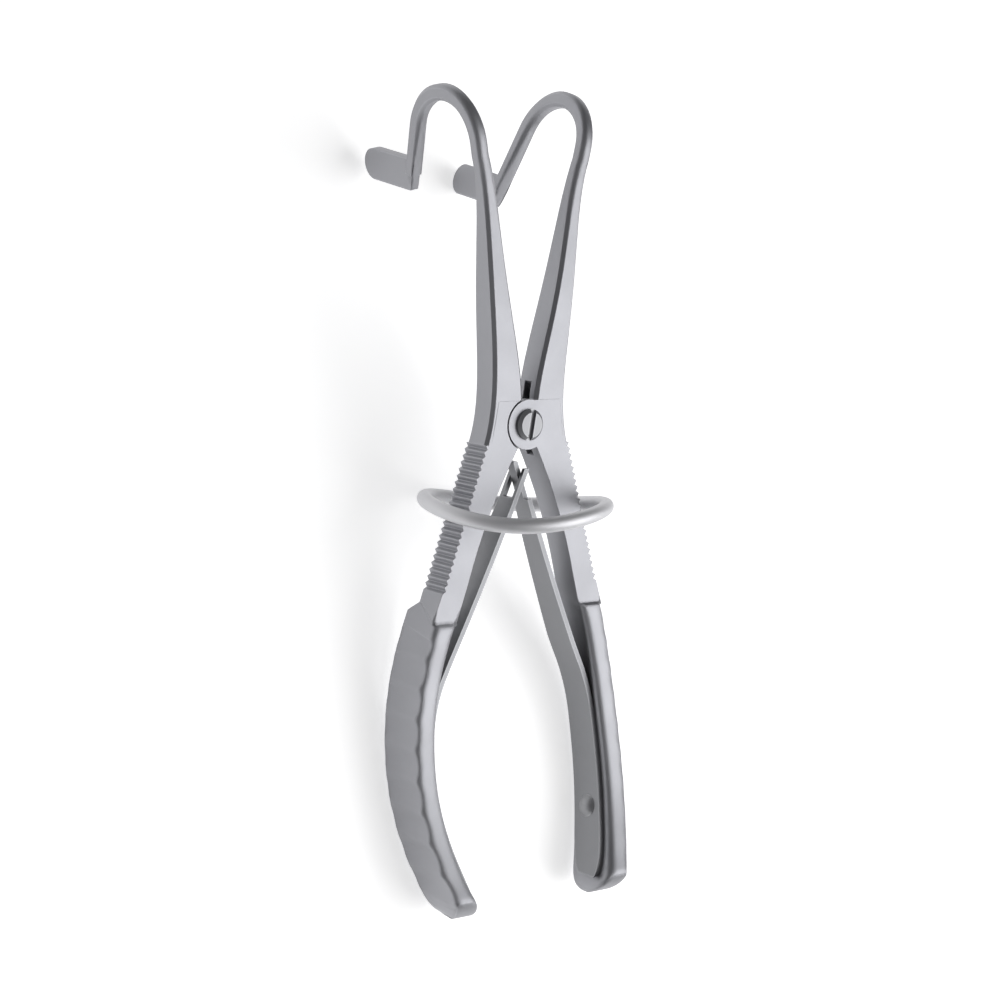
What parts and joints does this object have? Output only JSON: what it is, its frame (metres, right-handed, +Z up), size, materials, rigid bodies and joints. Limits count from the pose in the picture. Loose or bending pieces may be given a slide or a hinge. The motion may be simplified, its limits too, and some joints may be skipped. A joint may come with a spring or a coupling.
{
  "type": "mouth gag",
  "caption": "Plier-type surgical mouth gag: two pivoted steel arms with hooked bite plates, crossed leaf springs in the handles and a sliding locking ring.",
  "frame": {"origin": "centre of the footprint, on the surface the tool lies on", "axes": "+Y along the tool from the grips towards the hooks, +X towards the right arm, +Z up, with the screw head facing up and the tool pitched 16.4 degrees"},
  "size_m": [0.06, 0.1858, 0.0484],
  "materials": {
    "arm_steel": "satin, fine grain along the arm",
    "screw_steel": "turned, fine rings",
    "spring_steel": "satin",
    "rivet_steel": "polished dome",
    "ring_steel": "polished"
  },
  "bodies": {
    "right_half": {"right_arm": "arm_steel", "pivot_screw": "screw_steel", "right_spring": "spring_steel", "right_spring_rivet": "rivet_steel"},
    "left_half": {"left_arm": "arm_steel", "left_spring": "spring_steel", "left_spring_rivet": "rivet_steel"},
    "ring": {"locking_ring": "ring_steel"}
  },
  "joints": [
    {"name": "jaw_pivot", "type": "hinge", "parent": "right_half", "child": "left_half", "pos_m": [0, 0.01651, 0.02841], "axis": [0, -0.2823, 0.9593], "range_deg": [-22.5, 16], "stiffness_Nm_per_rad": 0.5, "deforming": ["left_spring", "right_spring"]},
    {"name": "ring_slide", "type": "slide", "parent": "right_half", "child": "ring", "axis": [0.3048, -0.9137, -0.2688], "range_m": [-0.0118, 0.0084]}
  ],
  "couplings": [
    {"joint": "ring_slide", "follows": "jaw_pivot", "m_per_rad": 0.03}
  ]
}
